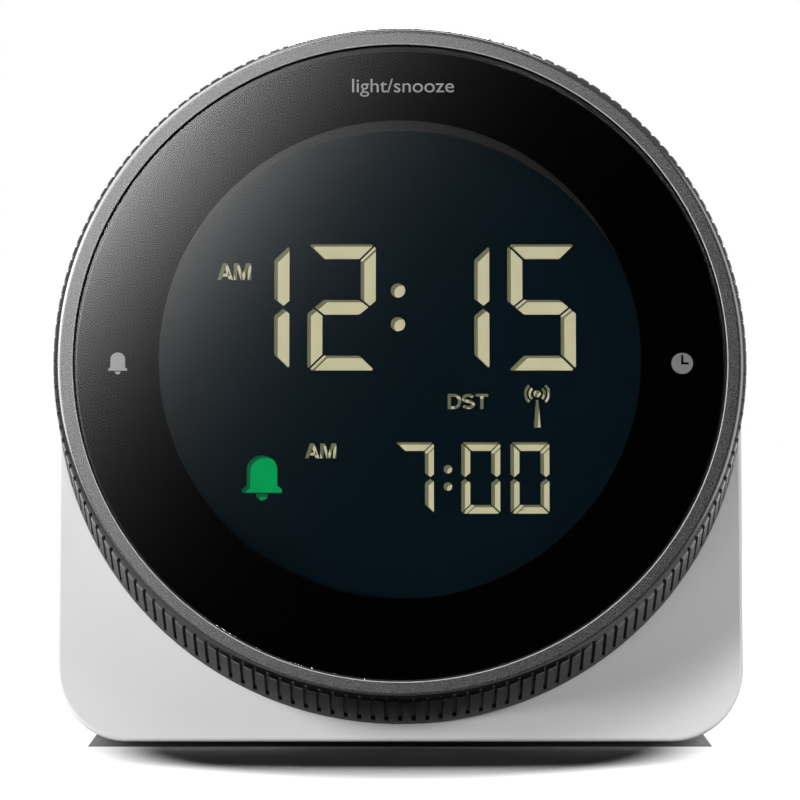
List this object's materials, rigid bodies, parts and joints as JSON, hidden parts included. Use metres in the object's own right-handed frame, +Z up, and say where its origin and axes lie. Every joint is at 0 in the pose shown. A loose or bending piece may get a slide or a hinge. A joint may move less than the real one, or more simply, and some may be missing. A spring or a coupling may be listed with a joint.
{
  "type": "radio-controlled clock",
  "caption": "Leaning bedside alarm clock with a round glossy display, a knurled turning ring around it and a light grey arched housing with a battery bay at the back.",
  "frame": {"origin": "middle of the clock's box on the table, under the foot pad", "axes": "+Z up, the face looks along -Y and leans back by 13 degrees, +X to the right as seen from the front"},
  "size_m": [0.078, 0.056, 0.0815],
  "materials": {
    "housing_plastic": "satin light grey",
    "ring_plastic": "fine-grained dark grey",
    "inner_plastic": "matte black",
    "lens_clear": "clear and glossy",
    "black_print": "black print",
    "foot_rubber": "matte",
    "contact_rubber": "matte",
    "steel": "bright",
    "gear_plastic": "natural white",
    "part_plastic": "black",
    "plunger_plastic": "natural",
    "display_glass": "dark display glass",
    "display_segments": "cream",
    "guide_plastic": "clear light guide",
    "white_sheet": "white",
    "board_laminate": "green solder resist",
    "ferrite": "dark grey",
    "copper_winding": "enamelled copper",
    "sounder_brass": "bright",
    "sounder_ceramic": "silvered ceramic",
    "cell_wrap": "plain sleeve",
    "nickel": "nickel plated",
    "lead_insulation": "red sleeve"
  },
  "bodies": {
    "housing": {"housing_shell": "housing_plastic", "foot_pad": "foot_rubber", "rear_cover": "housing_plastic", "cover_screws": "steel", "sounder_disc": "sounder_brass", "sounder_ceramic": "sounder_ceramic", "battery_cells": "cell_wrap", "battery_springs": "nickel", "battery_contacts": "nickel", "battery_leads": "lead_insulation", "sounder_leads": "lead_insulation", "front_chassis": "inner_plastic", "chassis_screws": "steel", "hinge_pin": "steel", "lcd_holder": "inner_plastic", "lcd_front_glass": "display_glass", "lcd_rear_glass": "display_glass", "lcd_segments": "display_segments", "contact_strips": "contact_rubber", "light_guide": "guide_plastic", "reflector_sheet": "white_sheet", "backlight_leds": "white_sheet", "main_board": "board_laminate", "board_screws": "steel", "switch_bodies": "part_plastic", "controller_chip": "part_plastic", "quartz_crystal": "steel", "encoder_body": "part_plastic", "ferrite_rod": "ferrite", "antenna_coil": "copper_winding", "antenna_clips": "inner_plastic", "receiver_board": "board_laminate", "receiver_chip": "part_plastic"},
    "bezel": {"bezel_ring": "ring_plastic", "bezel_gear": "inner_plastic"},
    "encoder_rotor": {"encoder_pinion": "gear_plastic", "encoder_shaft": "steel"},
    "tilt_frame": {"press_frame": "inner_plastic"},
    "lens_panel": {"lens": "lens_clear", "lens_mask": "black_print", "lens_carrier": "inner_plastic", "carrier_pins": "steel"},
    "snooze_key": {"snooze_plunger": "plunger_plastic"},
    "alarm_key": {"alarm_plunger": "plunger_plastic"},
    "time_key": {"time_plunger": "plunger_plastic"},
    "battery_door": {"battery_door": "housing_plastic"}
  },
  "joints": [
    {"name": "bezel_turn", "type": "hinge", "parent": "housing", "child": "bezel", "pos_m": [0, -0.01941, 0.04364], "axis": [0, -0.9744, 0.225], "continuous": true},
    {"name": "encoder_turn", "type": "hinge", "parent": "housing", "child": "encoder_rotor", "pos_m": [0.01909, -0.01162, 0.02225], "axis": [0, -0.9744, 0.225], "continuous": true},
    {"name": "snooze_press", "type": "hinge", "parent": "housing", "child": "tilt_frame", "pos_m": [0, -0.02272, 0.00951], "axis": [-1, 0, 0], "range_deg": [0, 0.3808], "stiffness_Nm_per_rad": 6, "springref_deg": -0.23},
    {"name": "side_press", "type": "hinge", "parent": "tilt_frame", "child": "lens_panel", "pos_m": [0, -0.01507, 0.04264], "axis": [0, 0.225, 0.9744], "range_deg": [-0.6, 0.6], "stiffness_Nm_per_rad": 3},
    {"name": "snooze_travel", "type": "slide", "parent": "housing", "child": "snooze_key", "axis": [0, 0.9744, -0.225], "range_m": [0, 0.0005]},
    {"name": "alarm_travel", "type": "slide", "parent": "housing", "child": "alarm_key", "axis": [0, 0.9744, -0.225], "range_m": [-0.0004, 0.0004]},
    {"name": "time_travel", "type": "slide", "parent": "housing", "child": "time_key", "axis": [0, 0.9744, -0.225], "range_m": [-0.0004, 0.0004]},
    {"name": "battery_door_swing", "type": "hinge", "parent": "housing", "child": "battery_door", "pos_m": [0, 0.02715, 0.01385], "axis": [-1, 0, 0], "range_deg": [0, 85]}
  ],
  "couplings": [
    {"joint": "encoder_turn", "follows": "bezel_turn", "ratio": 7},
    {"joint": "snooze_travel", "follows": "snooze_press", "m_per_rad": 0.0677},
    {"joint": "time_travel", "follows": "side_press", "m_per_rad": 0.0337},
    {"joint": "alarm_travel", "follows": "side_press", "m_per_rad": -0.0337}
  ]
}
